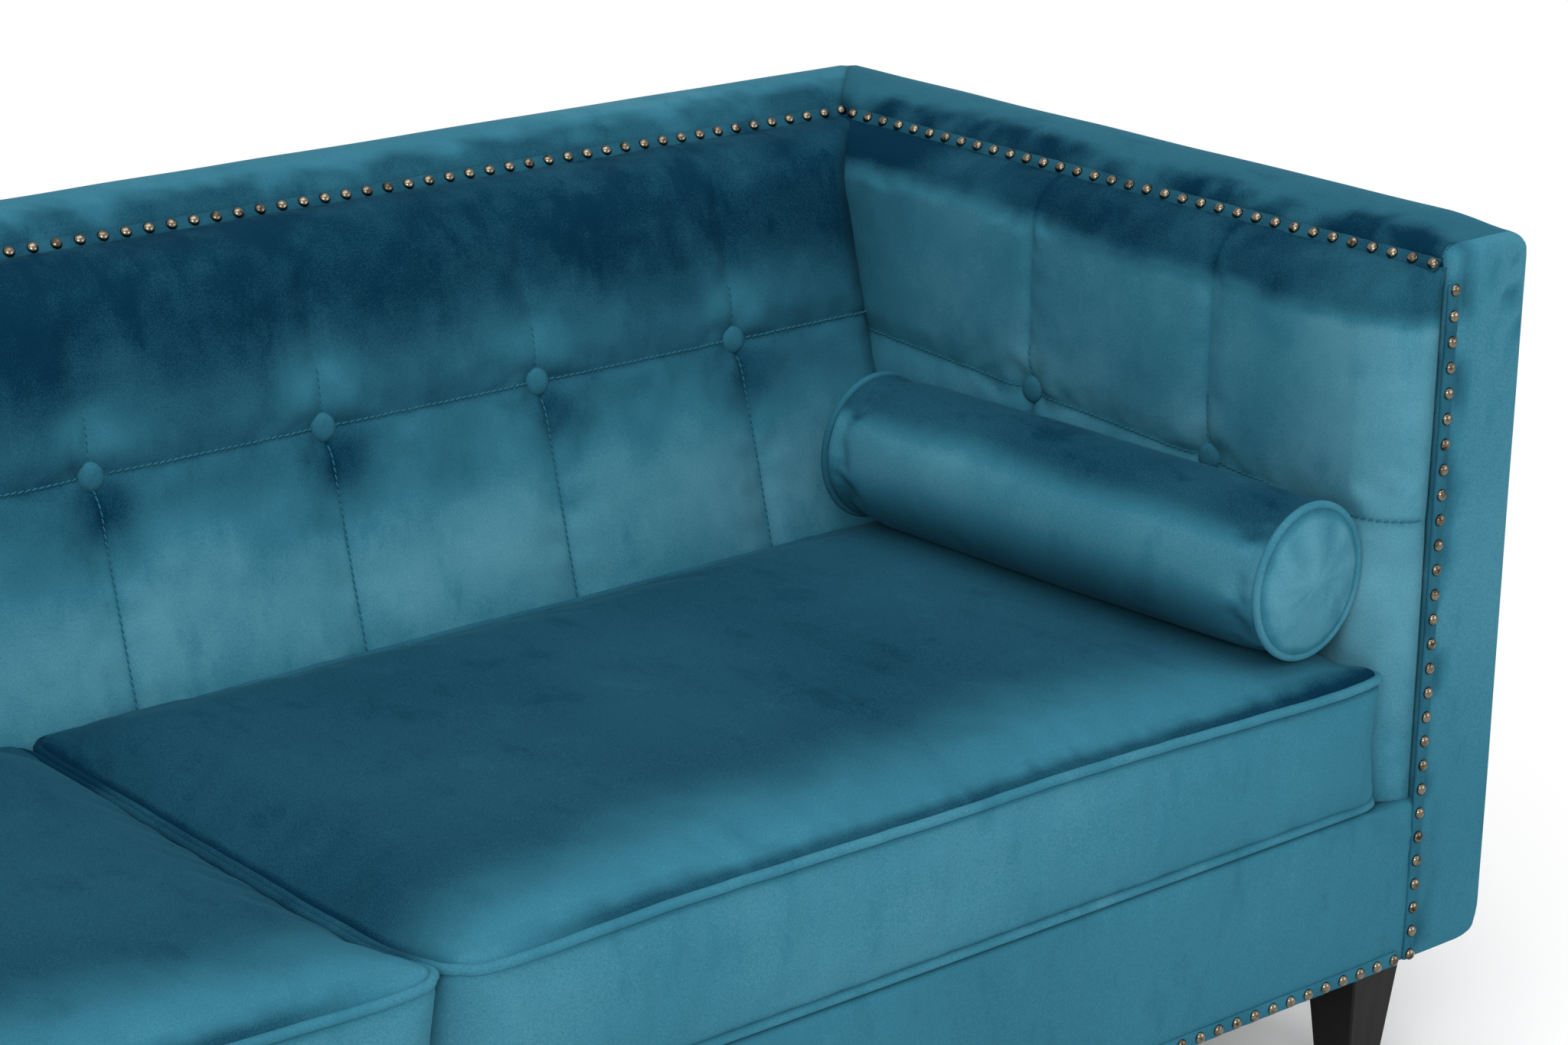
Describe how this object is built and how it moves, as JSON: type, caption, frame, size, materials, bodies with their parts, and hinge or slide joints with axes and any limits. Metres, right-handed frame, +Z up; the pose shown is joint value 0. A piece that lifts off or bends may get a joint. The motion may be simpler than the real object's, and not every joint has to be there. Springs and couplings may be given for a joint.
{
  "type": "three-seater sofa",
  "caption": "Upholstered sofa with arms and back at one height, tufted inner pads, loose box cushions and bolsters, and square tapered legs.",
  "frame": {"origin": "on the floor under the middle of the sofa's width and depth", "axes": "+X to the right as seen from the front, the front faces -Y, +Z up"},
  "size_m": [2.13, 0.832, 0.765],
  "materials": {
    "velvet": "matte",
    "timber": "matte",
    "black_wood": "satin",
    "foam": "matte",
    "steel": "satin",
    "nylon": "matte",
    "webbing": "matte",
    "deck_cloth": "matte",
    "dust_cloth": "matte"
  },
  "bodies": {
    "frame": {"arm_band_left": "velvet", "arm_band_right": "velvet", "back_band": "velvet", "arm_facing_left": "velvet", "arm_facing_right": "velvet", "front_rail_cover": "velvet", "outside_back_panel": "velvet", "outside_arm_panel_left": "velvet", "outside_arm_panel_right": "velvet", "back_pad": "velvet", "arm_pad_left": "velvet", "arm_pad_right": "velvet", "back_buttons": "velvet", "arm_buttons_left": "velvet", "arm_buttons_right": "velvet", "front_rail": "timber", "back_rail": "timber", "seat_back_rail": "timber", "end_rail_left": "timber", "end_rail_right": "timber", "centre_rail": "timber", "leg_blocks": "timber", "arm_front_board_left": "timber", "arm_front_board_right": "timber", "back_end_post_left": "timber", "back_end_post_right": "timber", "arm_top_rail_left": "timber", "arm_top_rail_right": "timber", "back_top_rail": "timber", "arm_slat_left": "timber", "arm_slat_right": "timber", "arm_inner_board_left": "timber", "arm_inner_board_right": "timber", "back_upright_outer_left": "timber", "back_upright_inner_left": "timber", "back_upright_inner_right": "timber", "back_upright_outer_right": "timber", "leg_front_left": "black_wood", "leg_front_right": "black_wood", "leg_back_left": "black_wood", "leg_back_right": "black_wood", "leg_centre": "black_wood", "leg_plates": "steel", "hanger_bolts": "steel", "leg_glides": "nylon", "seat_webbing": "webbing", "back_webbing": "webbing", "deck_pad": "deck_cloth", "dust_cover": "dust_cloth"},
    "seat_cushion_left": {"seat_cushion_cover_left": "velvet", "seat_cushion_core_left": "foam"},
    "seat_cushion_right": {"seat_cushion_cover_right": "velvet", "seat_cushion_core_right": "foam"},
    "bolster_left": {"bolster_cover_left": "velvet", "bolster_core_left": "foam"},
    "bolster_right": {"bolster_cover_right": "velvet", "bolster_core_right": "foam"}
  },
  "joints": [
    {"name": "seat_cushion_left_lift", "type": "slide", "parent": "frame", "child": "seat_cushion_left", "axis": [0, 0, 1], "range_m": [0, 0.5]},
    {"name": "seat_cushion_right_lift", "type": "slide", "parent": "frame", "child": "seat_cushion_right", "axis": [0, 0, 1], "range_m": [0, 0.5]},
    {"name": "bolster_left_lift", "type": "slide", "parent": "seat_cushion_left", "child": "bolster_left", "axis": [0, 0, 1], "range_m": [0, 0.4]},
    {"name": "bolster_right_lift", "type": "slide", "parent": "seat_cushion_right", "child": "bolster_right", "axis": [0, 0, 1], "range_m": [0, 0.4]}
  ]
}
